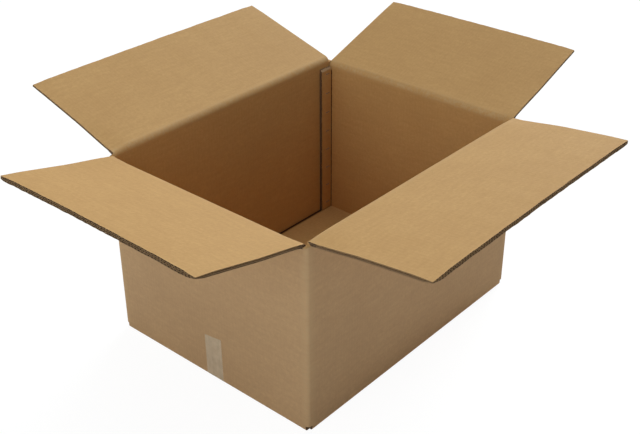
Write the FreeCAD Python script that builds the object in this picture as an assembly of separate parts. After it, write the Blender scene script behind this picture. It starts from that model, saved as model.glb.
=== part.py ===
import FreeCAD, Part
import math
import os

# Open cardboard box, slotted carton of triple-wall corrugated board, in millimetres.
# The frame stands at the middle of the underside. X runs along the length, Y along the
# width and Z up. The short wall with the tape end in the photograph is on the -X side.

# Driving dimensions of the box
inner_length = 710.0
inner_width = 550.0
short_axis_height = 441.0    # ground to the fold axis of the two short flaps
flap_stack_gap = 0.5         # play between the short flaps and the long flaps, closed

# Board: four liners with three layers of fluted paper between them
liner = 0.4
outer_flute = 3.0
middle_flute = 2.9
outer_pitch = 8.5
middle_pitch = 7.6
flute_paper = 0.5            # solid left beside and above each open cell
cell_depth = 25.0            # how far the open cells reach in from a flap's free edge
cell_end_margin = 3.0        # closed board at each end of a row of cells

# Folds and clearances
flap_side_gap = 1.0          # short flap to long wall, long flap to short wall
meeting_gap = 1.0            # from the box's middle line to a closed long flap
fold_gap = 0.3               # rolled root of a flap to the top of its wall
droop_angle = 45.0           # how far below level an opened flap can hang
corner_radius = 8.0          # outside of the vertical folds
inner_corner_radius = 2.0
heel_radius = 6.0            # outside of the bottom folds

# How far each flap stands above level, as left in the photograph
front_rise = 6.1
back_rise = 16.7
left_rise = 13.8
right_rise = 19.3

# Bottom: long flaps outside, short flaps laid on them inside
bottom_stack_gap = 0.2
corner_notch_height = 8.0
corner_notch_back = 2.0      # notch's inner side, measured from the long wall's inner face

# Joint tab, an extension of the right wall that lies inside the back wall
tab_width = 38.0
tab_board = 8.0              # board of the tab, pressed thinner than the walls
lap_gap = 0.3
tab_fold_radius = 6.0
tab_floor_gap = 1.0

# Wire stitches through the back wall and the tab
stitch_count = 8
stitch_pitch = 54.0
lowest_stitch = 41.0         # height of the lowest stitch above the ground
stitch_from_corner = 14.5    # middle of a stitch to the right wall's inner face
stitch_span = 13.0
clinch_length = 5.0
wire_width = 2.0
wire_thickness = 0.8

# Tape over the seam of the bottom flaps
tape_width = 50.0
tape_rise = 95.0
tape_thickness = 0.1

overcut = 5.0                # how far a cutting tool runs past the board

# Sizes worked out from the values above
board = 4 * liner + 2 * outer_flute + middle_flute
half_board = board / 2
half_length = inner_length / 2
half_width = inner_width / 2
outer_half_length = half_length + board
outer_half_width = half_width + board
long_axis_height = short_axis_height + board + flap_stack_gap
short_wall_top = short_axis_height - half_board - fold_gap
long_wall_top = long_axis_height - half_board - fold_gap
flap_reach = half_width + half_board - meeting_gap
short_floor = board + bottom_stack_gap
floor_top = short_floor + board
tab_inner_face = half_width - lap_gap - tab_board


def block(x_low, x_high, y_low, y_high, z_low, z_high):
    """Box between two corners."""
    size = (x_high - x_low, y_high - y_low, z_high - z_low)
    return Part.makeBox(*size, FreeCAD.Vector(x_low, y_low, z_low))


def polygon_face(points):
    """Flat face with straight sides through the points."""
    corners = [FreeCAD.Vector(*point) for point in points]
    return Part.Face(Part.makePolygon(corners + corners[:1]))


def turned(shape, degrees):
    """Copy of the shape, turned about the vertical axis through the origin."""
    copy = shape.copy()
    copy.rotate(FreeCAD.Vector(0, 0, 0), FreeCAD.Vector(0, 0, 1), degrees)
    return copy


# Top flaps, modelled level, pointing along +X from a fold axis on the Y axis

def row_of_cells(width, low, high, pitch, point_up):
    """Corner points of the triangular cells of one fluted layer, at the free edge.

    Every cell is listed in the turning sense that a hole in the edge's face has.
    """
    count = int((width - 2 * cell_end_margin) // pitch)
    half_base = pitch / 2 - flute_paper
    base = low if point_up else high
    tip = high - flute_paper if point_up else low + flute_paper
    cells = []
    for index in range(count):
        middle = (index - (count - 1) / 2) * pitch
        left = FreeCAD.Vector(flap_reach, middle - half_base, base)
        right = FreeCAD.Vector(flap_reach, middle + half_base, base)
        top = FreeCAD.Vector(flap_reach, middle, tip)
        cells.append((left, top, right) if point_up else (left, right, top))
    return cells


def flute_cells(width):
    """Open ends of the three fluted layers, seen at a flap's free edge."""
    lower = -half_board + liner
    middle = lower + outer_flute + liner
    upper = middle + middle_flute + liner
    cells = row_of_cells(width, lower, lower + outer_flute, outer_pitch, True)
    cells += row_of_cells(width, middle, middle + middle_flute, middle_pitch, False)
    cells += row_of_cells(width, upper, upper + outer_flute, outer_pitch, True)
    return cells


def cell_walls(cell):
    """Three sides of an open cell, which run together to a point inside the board."""
    middle = (cell[0] + cell[1] + cell[2]) * (1 / 3)
    deepest = middle - FreeCAD.Vector(cell_depth, 0, 0)
    sides = zip(cell, cell[1:] + cell[:1])
    return [polygon_face([start, end, deepest]) for start, end in sides]


def free_edge_face(width, cells):
    """End face of a flap, with one hole for each cell."""
    half = width / 2
    corners = [(-half, -half_board), (half, -half_board), (half, half_board)]
    corners += [(-half, half_board), (-half, -half_board)]
    rim = Part.makePolygon([FreeCAD.Vector(flap_reach, y, z) for y, z in corners])
    holes = [Part.makePolygon(list(cell) + [cell[0]]) for cell in cells]
    return Part.Face([rim] + holes)


def level_flap(width):
    """Flap with a rolled root about its fold axis and open flutes in its free edge."""
    low_root = FreeCAD.Vector(0, 0, -half_board)
    low_end = FreeCAD.Vector(flap_reach, 0, -half_board)
    high_end = FreeCAD.Vector(flap_reach, 0, half_board)
    high_root = FreeCAD.Vector(0, 0, half_board)
    root = Part.Arc(high_root, FreeCAD.Vector(-half_board, 0, 0), low_root).toShape()
    bottom = Part.makeLine(low_root, low_end)
    end = Part.makeLine(low_end, high_end)
    top = Part.makeLine(high_end, high_root)
    section = Part.Face(Part.Wire([bottom, end, top, root]))
    section.translate(FreeCAD.Vector(0, -width / 2, 0))
    plain = section.extrude(FreeCAD.Vector(0, width, 0))

    cells = flute_cells(width)
    faces = [face for face in plain.Faces if face.BoundBox.XMin <= half_board]
    faces.append(free_edge_face(width, cells))
    for cell in cells:
        faces += cell_walls(cell)
    shell = Part.makeShell(faces)
    shell.sewShape()
    return Part.makeSolid(shell)


def hinged_flap(level, rise, axis_distance, axis_height, facing):
    """Flap raised above level, set on its wall's fold axis and turned to face outwards."""
    flap = level.copy()
    flap.rotate(FreeCAD.Vector(0, 0, 0), FreeCAD.Vector(0, 1, 0), -rise)
    flap.translate(FreeCAD.Vector(axis_distance, 0, axis_height))
    return turned(flap, facing)


# Box body, one folded sheet: four walls, joint tab and four bottom flaps

def top_relief(width, axis_distance, axis_height):
    """Cutter for the top of a wall that faces +X, clear of its flap over the whole swing."""
    reach = half_board + fold_gap
    droop = math.radians(droop_angle)
    inside = -half_board - flap_side_gap
    bevel_start = -reach * math.tan(droop / 2)
    outside = half_board + overcut
    bevel_end = -reach / math.cos(droop) - outside * math.tan(droop)
    ceiling = board + overcut
    section = [(inside, -reach), (bevel_start, -reach), (outside, bevel_end)]
    section += [(outside, ceiling), (inside, ceiling)]
    face = polygon_face([(x, -width / 2, z) for x, z in section])
    cutter = face.extrude(FreeCAD.Vector(0, width, 0))
    cutter.translate(FreeCAD.Vector(axis_distance, 0, axis_height))
    return cutter


def folded_outside():
    """Outer form of the closed sheet, with round folds and one square joint corner."""
    shape = block(-outer_half_length, outer_half_length, -outer_half_width,
                  outer_half_width, 0, long_wall_top)
    folds = []
    for edge in shape.Edges:
        middle = edge.CenterOfMass
        upright = 0 < middle.z < long_wall_top
        if upright and not (middle.x > 0 and middle.y > 0):
            folds.append(edge)
    shape = shape.makeFillet(corner_radius, folds)
    heels = [edge for edge in shape.Edges if edge.BoundBox.ZMax < overcut]
    return shape.makeFillet(heel_radius, heels)


def room_inside():
    """Space between the walls, above the long bottom flaps."""
    space = block(-half_length, half_length, -half_width, half_width, board,
                  long_wall_top + overcut)
    upright = [edge for edge in space.Edges if edge.BoundBox.ZLength > board]
    return space.makeFillet(inner_corner_radius, upright)


def bottom_cuts():
    """Seam and end gaps of the long bottom flaps, and the open notch at each corner."""
    cuts = [block(-half_length, half_length, -meeting_gap, meeting_gap, -overcut, short_floor)]
    flap_end = half_length - flap_side_gap
    notch_start = half_width + corner_notch_back
    for side in (-1, 1):
        ends = sorted((side * flap_end, side * half_length))
        cuts.append(block(*ends, -half_width, half_width, -overcut, board))
        notch_x = sorted((side * flap_end, side * (outer_half_length + overcut)))
        for hand in (-1, 1):
            notch_y = sorted((hand * notch_start, hand * (outer_half_width + overcut)))
            cuts.append(block(*notch_x, *notch_y, -overcut, corner_notch_height))
    return cuts


def joint_tab():
    """Tab behind the back wall, joined to the right wall by the corner fold."""
    return block(half_length - tab_width, outer_half_length - tab_fold_radius, tab_inner_face,
                 half_width - lap_gap, floor_top + tab_floor_gap, short_wall_top)


def joint_cuts():
    """Slit between the tab and the back wall, and the round outside of the tab's fold."""
    slit = block(half_length - tab_width, half_length, half_width - lap_gap, half_width,
                 floor_top + tab_floor_gap, short_wall_top)
    mouth = block(half_length, outer_half_length + overcut, half_width - lap_gap, half_width,
                  -overcut, long_wall_top + overcut)
    fold_x = outer_half_length - tab_fold_radius
    fold_y = half_width - lap_gap - tab_fold_radius
    square = block(fold_x, outer_half_length + overcut, fold_y, half_width, -overcut,
                   short_wall_top + overcut)
    post = Part.makeCylinder(tab_fold_radius, short_wall_top + 3 * overcut,
                             FreeCAD.Vector(fold_x, fold_y, -2 * overcut))
    return [slit, mouth, square.cut(post)]


def short_bottom_flap():
    """Inner bottom flap on the +X side, lying on the long bottom flaps."""
    half = half_width - flap_side_gap
    inner_end = outer_half_length - half_board - flap_reach
    return block(inner_end, half_length, -half, half, short_floor, floor_top)


def box_body():
    """The whole folded sheet as one solid."""
    body = folded_outside().cut(room_inside())
    flap = short_bottom_flap()
    body = body.fuse([flap, turned(flap, 180), joint_tab()])
    long_relief = top_relief(inner_length, half_width + half_board, long_axis_height)
    short_relief = top_relief(inner_width, half_length + half_board, short_axis_height)
    reliefs = [turned(long_relief, 90), turned(long_relief, -90)]
    reliefs += [short_relief, turned(short_relief, 180)]
    return body.cut(reliefs + bottom_cuts() + joint_cuts())


# Small parts on the body

def bottom_tape():
    """Tape along the bottom seam and up both short walls, let in flush with the board."""
    def outline(inset):
        """Outer section of the box from wall to wall, drawn inwards by the inset."""
        side = outer_half_length - inset
        radius = heel_radius - inset
        bend = radius * math.sin(math.radians(45))
        points = [(-side, tape_rise), (-side, heel_radius)]
        left = (heel_radius - outer_half_length - bend, heel_radius - bend)
        points += [left, (heel_radius - outer_half_length, inset)]
        points += [(-x, z) for x, z in reversed(points)]
        return [FreeCAD.Vector(x, -tape_width / 2, z) for x, z in points]

    outer = outline(0)
    inner = outline(tape_thickness)
    edges = []
    for path in (outer, inner):
        edges.append(Part.makeLine(path[0], path[1]))
        edges.append(Part.Arc(path[1], path[2], path[3]).toShape())
        edges.append(Part.makeLine(path[3], path[4]))
        edges.append(Part.Arc(path[4], path[5], path[6]).toShape())
        edges.append(Part.makeLine(path[6], path[7]))
    edges.append(Part.makeLine(outer[0], inner[0]))
    edges.append(Part.makeLine(outer[7], inner[7]))
    section = Part.Face(Part.Wire(Part.__sortEdges__(edges)))
    return section.extrude(FreeCAD.Vector(0, tape_width, 0))


def wire_stitch(height):
    """One flat wire: crown outside, two legs through the boards, ends clinched inside."""
    middle = half_length - stitch_from_corner
    outside = outer_half_width + wire_thickness
    inside = tab_inner_face - wire_thickness
    left = middle - stitch_span / 2
    right = middle + stitch_span / 2
    section = [(left, outside), (left, inside), (left + clinch_length, inside)]
    section += [(left + clinch_length, tab_inner_face)]
    section += [(left + wire_thickness, tab_inner_face)]
    section += [(left + wire_thickness, outer_half_width)]
    section += [(right - wire_thickness, outer_half_width)]
    section += [(right - wire_thickness, tab_inner_face)]
    section += [(right - clinch_length, tab_inner_face)]
    section += [(right - clinch_length, inside), (right, inside), (right, outside)]
    base = height - wire_width / 2
    face = polygon_face([(x, y, base) for x, y in section])
    return face.extrude(FreeCAD.Vector(0, 0, wire_width))


def joint_stitches():
    """All stitches of the joint, one above the other."""
    heights = [lowest_stitch + index * stitch_pitch for index in range(stitch_count)]
    return Part.makeCompound([wire_stitch(height) for height in heights])


def build_nodes():
    """Every piece by name, at rest in the box's frame."""
    tape = bottom_tape()
    stitches = joint_stitches()
    nodes = {"box_body": box_body().cut([tape] + stitches.Solids)}
    nodes["bottom_tape"] = tape
    nodes["joint_stitches"] = stitches
    long_flap = level_flap(inner_length - 2 * flap_side_gap)
    short_flap = level_flap(inner_width - 2 * flap_side_gap)
    long_axis = half_width + half_board
    short_axis = half_length + half_board
    flaps = (("front_flap", long_flap, front_rise, long_axis, long_axis_height, -90),
             ("back_flap", long_flap, back_rise, long_axis, long_axis_height, 90),
             ("left_flap", short_flap, left_rise, short_axis, short_axis_height, 180),
             ("right_flap", short_flap, right_rise, short_axis, short_axis_height, 0))
    for name, level, rise, distance, height, facing in flaps:
        nodes[name] = hinged_flap(level, rise, distance, height, facing)
    return nodes


def main():
    os.makedirs("parts", exist_ok=True)
    for name, shape in build_nodes().items():
        shape.exportStep(os.path.join("parts", name + ".step"))
        print(name, len(shape.Solids), shape.isValid(), round(shape.Volume))


main()
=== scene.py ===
import math

import bpy
import numpy as np
from bpy.props import FloatProperty, FloatVectorProperty, IntProperty, PointerProperty
from mathutils import Matrix, Vector


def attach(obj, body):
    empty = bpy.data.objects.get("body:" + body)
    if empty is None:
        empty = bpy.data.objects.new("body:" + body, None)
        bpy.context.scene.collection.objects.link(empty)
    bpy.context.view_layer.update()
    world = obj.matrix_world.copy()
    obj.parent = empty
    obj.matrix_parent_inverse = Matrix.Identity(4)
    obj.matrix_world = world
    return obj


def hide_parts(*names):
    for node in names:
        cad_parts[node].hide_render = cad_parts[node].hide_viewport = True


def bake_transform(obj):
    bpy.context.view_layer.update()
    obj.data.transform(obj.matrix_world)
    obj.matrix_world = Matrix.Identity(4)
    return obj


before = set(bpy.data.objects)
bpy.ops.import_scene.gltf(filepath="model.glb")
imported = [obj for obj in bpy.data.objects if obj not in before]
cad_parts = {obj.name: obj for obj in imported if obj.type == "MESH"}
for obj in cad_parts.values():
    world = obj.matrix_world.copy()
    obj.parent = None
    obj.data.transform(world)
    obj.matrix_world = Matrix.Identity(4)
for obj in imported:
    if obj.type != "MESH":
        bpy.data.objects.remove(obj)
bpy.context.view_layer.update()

bl_info = {
    "name": "Open Cardboard Box",
    "version": (1, 0, 0),
    "blender": (4, 5, 0),
    "location": "View3D > Sidebar > Carton",
    "description": "Dresses the open carton of triple-wall board, piece by piece",
    "category": "Add Mesh",
}

# Each wall's name with its way outwards and its way along the folded sheet
SIDES = {
    "back": (np.array([0.0, 1.0, 0.0]), np.array([-1.0, 0.0, 0.0])),
    "left": (np.array([-1.0, 0.0, 0.0]), np.array([0.0, -1.0, 0.0])),
    "front": (np.array([0.0, -1.0, 0.0]), np.array([1.0, 0.0, 0.0])),
    "right": (np.array([1.0, 0.0, 0.0]), np.array([0.0, 1.0, 0.0])),
}
UP = np.array([0.0, 0.0, 1.0])
LONG_SIDES = ("front", "back")
# Way along each wall to the near corner, where the front and left walls meet
NEAR_WAY = {"back": 0, "left": 1, "front": -1, "right": 0}
# Material slots of every piece of board; the waves' paper is darkened as painted shade, and its
# slot also paints shade on wall faces
INNER, CUT, WAVES_AND_SHADE, OUTER = range(4)
STRIP_REACH = 0.016      # how far a fold strip runs from the fold axis, both ways
SLOT_STEP = 0.0002       # width of the sudden step at the end of a slot
FOOT_OVER = 0.002        # how far a short wall's foot runs past the inner corner
POST_DROP = 0.006        # top of an upright fold below the long fold axis
POST_LIFT = 0.002        # top of an upright fold above the short fold axis
TAB_DROP = 0.0065        # top of the joint tab below the short fold axis
TAB_INNER_RADIUS = 0.0015
TAB_RIM = 0.0052         # height of the raw cut at the tab's top
CORNER_WEAR = 0.55       # wear of the liners at the upright folds
SIDE_FADE = 0.009        # how far the crush of a flap's side fades by a factor of e
EDGE_FADE = 0.010        # the same for its free edge
TIP_FADE = 0.017         # reach of the crush about a flap's corner
SETTLE_WIDTH = 0.030     # how far along a fold its end settles
SETTLE_DEPTH = 0.12      # how far into a flap it settles
LAMPS = (
    ("key_light", (0.88, 0.24, 0.51), 28),
    ("overhead_light", (0.0, 0.0, 1.0), 50),
    ("left_fill", (-0.97, 0.02, 0.25), 50),
    ("front_fill", (0.02, -0.96, 0.20), 50),
)
LAMP_COLOUR = (0.86, 0.96, 1.0)


def length(name, default, description):
    """Property for a length in metres."""
    return FloatProperty(name=name, description=description, default=default, unit="LENGTH",
                         precision=5)


def angle(name, degrees, description):
    """Property for an angle."""
    return FloatProperty(name=name, description=description, default=math.radians(degrees),
                         subtype="ANGLE")


def fraction(name, default, description, most=1.0):
    """Property for a share between none and the given most."""
    return FloatProperty(name=name, description=description, default=default, min=0.0, max=most)


def lamp(name, default, description):
    """Property for a lamp's strength."""
    return FloatProperty(name=name, description=description, default=default, min=0.0)


def colour(name, default, description):
    """Property for a colour."""
    return FloatVectorProperty(name=name, description=description, default=default, size=3,
                               subtype="COLOR", min=0.0, max=1.0)


class CartonSizes(bpy.types.PropertyGroup):
    """Sizes of the folded carton."""
    inner_length: length("Inner length", 0.710, "Inside, from short wall to short wall")
    inner_width: length("Inner width", 0.550, "Inside, from long wall to long wall")
    short_axis: length("Short fold height", 0.441, "Ground to the short flaps' fold axis")
    long_axis: length("Long fold height", 0.452, "Ground to the long flaps' fold axis")
    flap_reach: length("Flap reach", 0.27925, "Fold axis to a flap's free edge")
    flap_side_gap: length("Flap side gap", 0.001, "From a flap's side to the wall beside it")
    corner_radius: length("Corner radius", 0.008, "Outside of an upright fold")
    inner_radius: length("Inner corner radius", 0.002, "Inside of an upright fold")
    heel_radius: length("Heel radius", 0.006, "Outside of a bottom fold")
    tab_width: length("Joint tab width", 0.038, "Inner corner to the tab's cut edge")
    tab_board: length("Joint tab board", 0.008, "Thickness of the pressed tab")
    tab_radius: length("Tab fold radius", 0.006, "Outside of the tab's fold")
    tab_crease: length("Tab crease", 0.0062, "Depth of the crease inside the tab's fold")
    floor_gap: length("Floor side gap", 0.0090, "Short bottom flap to a long wall")
    lap_gap: length("Lap gap", 0.0003, "Between the tab and the back wall")
    notch_height: length("Notch height", 0.013, "Open notch at each bottom corner")
    seam_gap: length("Seam half gap", 0.001, "Middle line to a long bottom flap")
    wall_bulge: length("Wall bulge", 0.0014, "How far a wall's middle stands out")


class BoardMakeup(bpy.types.PropertyGroup):
    """Layers of the triple-wall board."""
    liner: length("Liner", 0.0004, "Thickness of each flat paper")
    outer_flute: length("Outer flutes", 0.0030, "Height of the upper and lower waves")
    middle_flute: length("Middle flutes", 0.0029, "Height of the middle waves")
    outer_pitch: length("Outer pitch", 0.0085, "Length of an upper or lower wave")
    middle_pitch: length("Middle pitch", 0.0076, "Length of a middle wave")
    wave_paper: length("Wave paper", 0.00048, "Thickness of the waved paper")
    open_depth: length("Open depth", 0.045, "How far the waves are built from a free edge")
    wave_steps: IntProperty(name="Wave steps", description="Points along one wave",
                            default=8, min=6)


class FlapForms(bpy.types.PropertyGroup):
    """How each flap stands and is bent out of flat."""
    front_rise: angle("Front rise", 6.1, "Front flap above level")
    back_rise: angle("Back rise", 16.7, "Back flap above level")
    left_rise: angle("Left rise", 13.8, "Left flap above level")
    right_rise: angle("Right rise", 19.3, "Right flap above level")
    front_bow: length("Front bow", 0.0032, "Rise of the free edge's middle, front flap")
    back_bow: length("Back bow", 0.0016, "Rise of the free edge's middle, back flap")
    left_bow: length("Left bow", 0.0030, "Rise of the free edge's middle, left flap")
    right_bow: length("Right bow", 0.0012, "Rise of the free edge's middle, right flap")
    corner_droop: length("Corner droop", 0.0016, "Drop of the corners beside the near fold")
    near_crush: fraction("Near side crush", 0.28, "Thickness lost at the near flaps' sides", 0.9)
    far_crush: fraction("Far side crush", 0.52, "Thickness lost at the far flaps' sides", 0.9)
    corner_crush: fraction("Corner crush", 0.55, "Thickness lost at the near corners", 0.9)
    edge_crush: fraction("Edge crush", 0.10, "Thickness lost at knocked places", 0.5)
    near_radius: length("Near fold radius", 0.009, "Bend of the front and left flaps")
    far_radius: length("Far fold radius", 0.016, "Bend of the back and right flaps")
    long_settle: length("Long fold settle", 0.0040, "Drop of the long folds at their ends")
    short_settle: length("Short fold settle", 0.0030, "Rise of the short folds at their ends")
    crush_line: length("Crush line", 0.026, "Fold axis to the pressed line beside it")


class FittingSizes(bpy.types.PropertyGroup):
    """Sizes of the tape and the wire stitches."""
    tape_width: length("Tape width", 0.050, "Across the seam")
    tape_rise: length("Tape rise", 0.112, "Ground to the tape's end on a short wall")
    tape_shift: length("Tape shift", -0.013, "From the seam to the tape's middle")
    tape_slant: length("Tape slant", 0.007, "How much higher the tape's front side ends")
    tape_film: length("Tape film", 0.00015, "Thickness of the tape")
    stitch_count: IntProperty(name="Stitches", description="Number of stitches", default=8)
    stitch_pitch: length("Stitch pitch", 0.054, "From stitch to stitch")
    lowest_stitch: length("Lowest stitch", 0.041, "Ground to the lowest stitch")
    stitch_from_corner: length("Stitch place", 0.0145, "Inner corner to a stitch's middle")
    stitch_span: length("Stitch span", 0.013, "Outside width of a stitch")
    clinch: length("Clinch", 0.005, "Length of a bent end")
    wire_width: length("Wire width", 0.002, "Flat wire, across")
    wire_thickness: length("Wire thickness", 0.0008, "Flat wire, through")


class CartonColours(bpy.types.PropertyGroup):
    """Colours of the papers, the tape and the wire."""
    paper: colour("Liner", (0.655, 0.376, 0.142), "Paper on the inside of the sheet")
    paper_shade: colour("Liner shade", (0.480, 0.250, 0.084), "Darker clouds in the liner")
    outer: colour("Outer liner", (0.610, 0.374, 0.188), "Paper on the outside of the sheet")
    outer_shade: colour("Outer liner shade", (0.440, 0.256, 0.126), "Darker clouds outside")
    paper_scuff: colour("Liner scuff", (0.640, 0.440, 0.235), "Rubbed places on the folds")
    fleck: colour("Fleck", (0.230, 0.130, 0.055), "Dark fibres in the paper")
    # The wave paper colour is the waves' own darker paper, darkened further as painted shade of
    # their hollows; it also serves as painted shade on walls
    wave: colour("Wave paper", (0.090, 0.047, 0.024), "Darker paper of the waves")
    cut: colour("Cut edge", (0.520, 0.315, 0.165), "Raw edge of a liner")
    # The cut hollow colour is painted shade: near black where the hollows between the liners lie in
    # shade
    cut_hollow_shade: colour("Cut hollow", (0.045, 0.024, 0.013), "Hollows seen at a raw edge")
    tape: colour("Tape", (0.840, 0.640, 0.430), "Clear packing tape over brown board")
    wire: colour("Wire", (0.330, 0.290, 0.240), "Zinc-coated wire")


class StageLook(bpy.types.PropertyGroup):
    """Camera and light."""
    eye: FloatVectorProperty(name="Camera place", size=3, subtype="TRANSLATION",
                             default=(-1.58746, -1.37692, 1.47081),
                             description="Where the camera stands")
    look: FloatVectorProperty(name="Camera direction", size=3, subtype="DIRECTION",
                              default=(0.65227, 0.56567, -0.50455),
                              description="Which way the camera looks")
    roll: angle("Camera roll", -0.15, "Turn of the picture about its middle")
    lens: FloatProperty(name="Lens", default=59.16, unit="CAMERA",
                        description="Focal length for a sensor 36 mm wide")
    key_light: lamp("Key light", 2.75, "Light from behind")
    overhead_light: lamp("Overhead light", 0.84, "Light from above")
    left_fill: lamp("Left fill", 1.27, "Light on the left")
    front_fill: lamp("Front fill", 0.33, "Light on the front")
    sky: lamp("Sky", 0.08, "Even light from all around")
    floor_glow: lamp("Floor glow", 1.07, "How bright the camera sees the bare floor")
    floor_bounce: fraction("Floor bounce", 0.95, "Share of the light that the floor gives back")
    shadow: fraction("Shadow strength", 0.12, "How much of the floor's shadow the camera sees")


def chosen(group):
    """The carton's settings in one group."""
    return getattr(bpy.context.scene, "carton_" + group)


# Meshes from grids of points

def smooth_step(value):
    """Zero below 0, one above 1, and 3t^2 - 2t^3 between them."""
    t = np.clip(value, 0.0, 1.0)
    return t * t * (3 - 2 * t)


def wander(value, seed):
    """Slow uneven curve between -1 and 1: the mean of three sines of unrelated lengths."""
    waves = np.sin(value * 1.0 + seed) + np.sin(value * 2.37 + seed * 1.7)
    return (waves + np.sin(value * 4.91 + seed * 2.3)) / 3


def grid_cells(grid):
    """Four-cornered faces of a grid of vertex numbers."""
    corners = (grid[:-1, :-1], grid[1:, :-1], grid[1:, 1:], grid[:-1, 1:])
    return np.stack(corners, axis=-1).reshape(-1, 4)


def outward(points, faces, maps):
    """The faces turned outwards: the sum of the signed tetrahedra under them is the volume."""
    a, b, c, d = (points[faces[:, corner]] for corner in range(4))
    volume = np.sum(np.cross(a, b) * c) + np.sum(np.cross(a, c) * d)
    if volume < 0:
        return faces[:, ::-1], maps[:, ::-1]
    return faces, maps


def sheet_map(along, up):
    """Map of a grid of points from the length along the sheet and the height."""
    return np.stack(np.broadcast_arrays(along, up), -1)


def slab(outer, inner, flutes, paper=INNER, edge=CUT, wear=0.0):
    """Closed sheet between two grids of points of the same shape.

    Both skins keep the map that is given for them, and paper is their material's number or
    a pair of numbers, the outer grid's first. The border joins the rim of one grid to
    the rim of the other, and its map runs along the rim and across the thickness.
    """
    rows, columns = outer.shape[:2]
    count = rows * columns
    grid = np.arange(count).reshape(rows, columns)
    skins = np.concatenate([grid_cells(grid), grid_cells(grid)[:, ::-1] + count])
    rim = np.concatenate([grid[:, 0], grid[-1, 1:], grid[-2::-1, -1], grid[0, -2:0:-1]])
    following = np.roll(rim, -1)
    border = np.stack([following, rim, rim + count, following + count], axis=-1)
    points = np.concatenate([outer.reshape(-1, 3), inner.reshape(-1, 3)])
    steps = np.linalg.norm(points[following] - points[rim], axis=1)
    reached = np.cumsum(steps)
    left = reached - steps
    through = np.linalg.norm(points[rim + count] - points[rim], axis=1)
    through_next = np.roll(through, -1)
    rim_map = np.stack([sheet_map(reached, 0.0), sheet_map(left, 0.0), sheet_map(left, through),
                        sheet_map(reached, through_next)], axis=1)
    both = np.concatenate([flutes.reshape(-1, 2), flutes.reshape(-1, 2)])
    faces = np.concatenate([skins, border])
    maps = np.concatenate([both[skins], rim_map])
    slots = np.concatenate([np.repeat(np.broadcast_to(paper, 2), len(skins) // 2),
                            np.full(len(border), edge)])
    faces, maps = outward(points, faces, maps)
    worn = np.concatenate([np.broadcast_to(wear, (rows, columns)).reshape(-1)] * 2)
    return points, faces, maps, slots, worn


def make_piece(name, slabs, materials, crease=35.0):
    """One mesh object from several closed sheets, with its map and its wear."""
    starts = np.cumsum([0] + [len(part[0]) for part in slabs[:-1]])
    points = np.concatenate([part[0] for part in slabs])
    faces = np.concatenate([part[1] + start for part, start in zip(slabs, starts)])
    maps = np.concatenate([part[2] for part in slabs])
    slots = np.concatenate([part[3] for part in slabs])
    worn = np.concatenate([part[4] for part in slabs])
    mesh = bpy.data.meshes.new(name)
    mesh.vertices.add(len(points))
    mesh.vertices.foreach_set("co", points.astype(np.float32).ravel())
    mesh.loops.add(faces.size)
    mesh.loops.foreach_set("vertex_index", faces.astype(np.int32).ravel())
    mesh.polygons.add(len(faces))
    mesh.polygons.foreach_set("loop_start", np.arange(0, faces.size, 4, dtype=np.int32))
    mesh.polygons.foreach_set("material_index", slots.astype(np.int32))
    mesh.update(calc_edges=True)
    mesh.uv_layers.new(name="flutes").data.foreach_set("uv", maps.astype(np.float32).ravel())
    layer = mesh.attributes.new("wear", "FLOAT", "POINT")
    layer.data.foreach_set("value", worn.astype(np.float32))
    mesh.polygons.foreach_set("use_smooth", np.ones(len(faces), dtype=bool))
    mesh.set_sharp_from_angle(angle=math.radians(crease))
    for material in materials:
        mesh.materials.append(material)
    mesh.validate()
    piece = bpy.data.objects.new(name, mesh)
    bpy.context.scene.collection.objects.link(piece)
    return piece


# Places on the carton

def board_thickness():
    """Four liners and three layers of waves."""
    makeup = chosen("board")
    return 4 * makeup.liner + 2 * makeup.outer_flute + makeup.middle_flute


def wall_facts(side):
    """Half length along the wall inside, distance of its inner face and height of its axis."""
    sizes = chosen("sizes")
    if side in LONG_SIDES:
        return sizes.inner_length / 2, sizes.inner_width / 2, sizes.long_axis
    return sizes.inner_width / 2, sizes.inner_length / 2, sizes.short_axis


def on_side(side, along, out, height):
    """Points at a distance along a wall, a distance out from the middle and a height."""
    outwards, sideways = SIDES[side]
    return (np.asarray(along)[..., None] * sideways + np.asarray(out)[..., None] * outwards
            + np.asarray(height)[..., None] * UP)


def wall_stations(side, board, first=None, last=None):
    """Distances along a wall, closer together at the steps of its ends."""
    sizes = chosen("sizes")
    half, _, _ = wall_facts(side)
    flap = half - sizes.flap_side_gap
    end = half + board - sizes.corner_radius
    marks = [flap, flap + SLOT_STEP]
    if side in ("left", "right"):
        marks += [half + FOOT_OVER, half + FOOT_OVER + SLOT_STEP]
    inner = np.linspace(-flap, flap, 61)
    stations = np.concatenate([[-end], -np.array(marks[::-1]), inner[1:-1], marks, [end]])
    if first is not None:
        stations = np.concatenate([[first], stations[stations > first]])
    if last is not None:
        stations = np.concatenate([stations[stations < last], [last]])
    return stations


def post_top(axis, other):
    """Height of an upright fold's top beside a wall with one fold axis, not the other."""
    return axis - POST_DROP if axis > other else axis + POST_LIFT


def quarter(centre, radius, side, turn):
    """Level arc about a centre, turning from a wall's way outwards to its way along."""
    out_way, along_way = SIDES[side]
    return centre + radius * (np.cos(turn)[:, None] * out_way + np.sin(turn)[:, None] * along_way)


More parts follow.
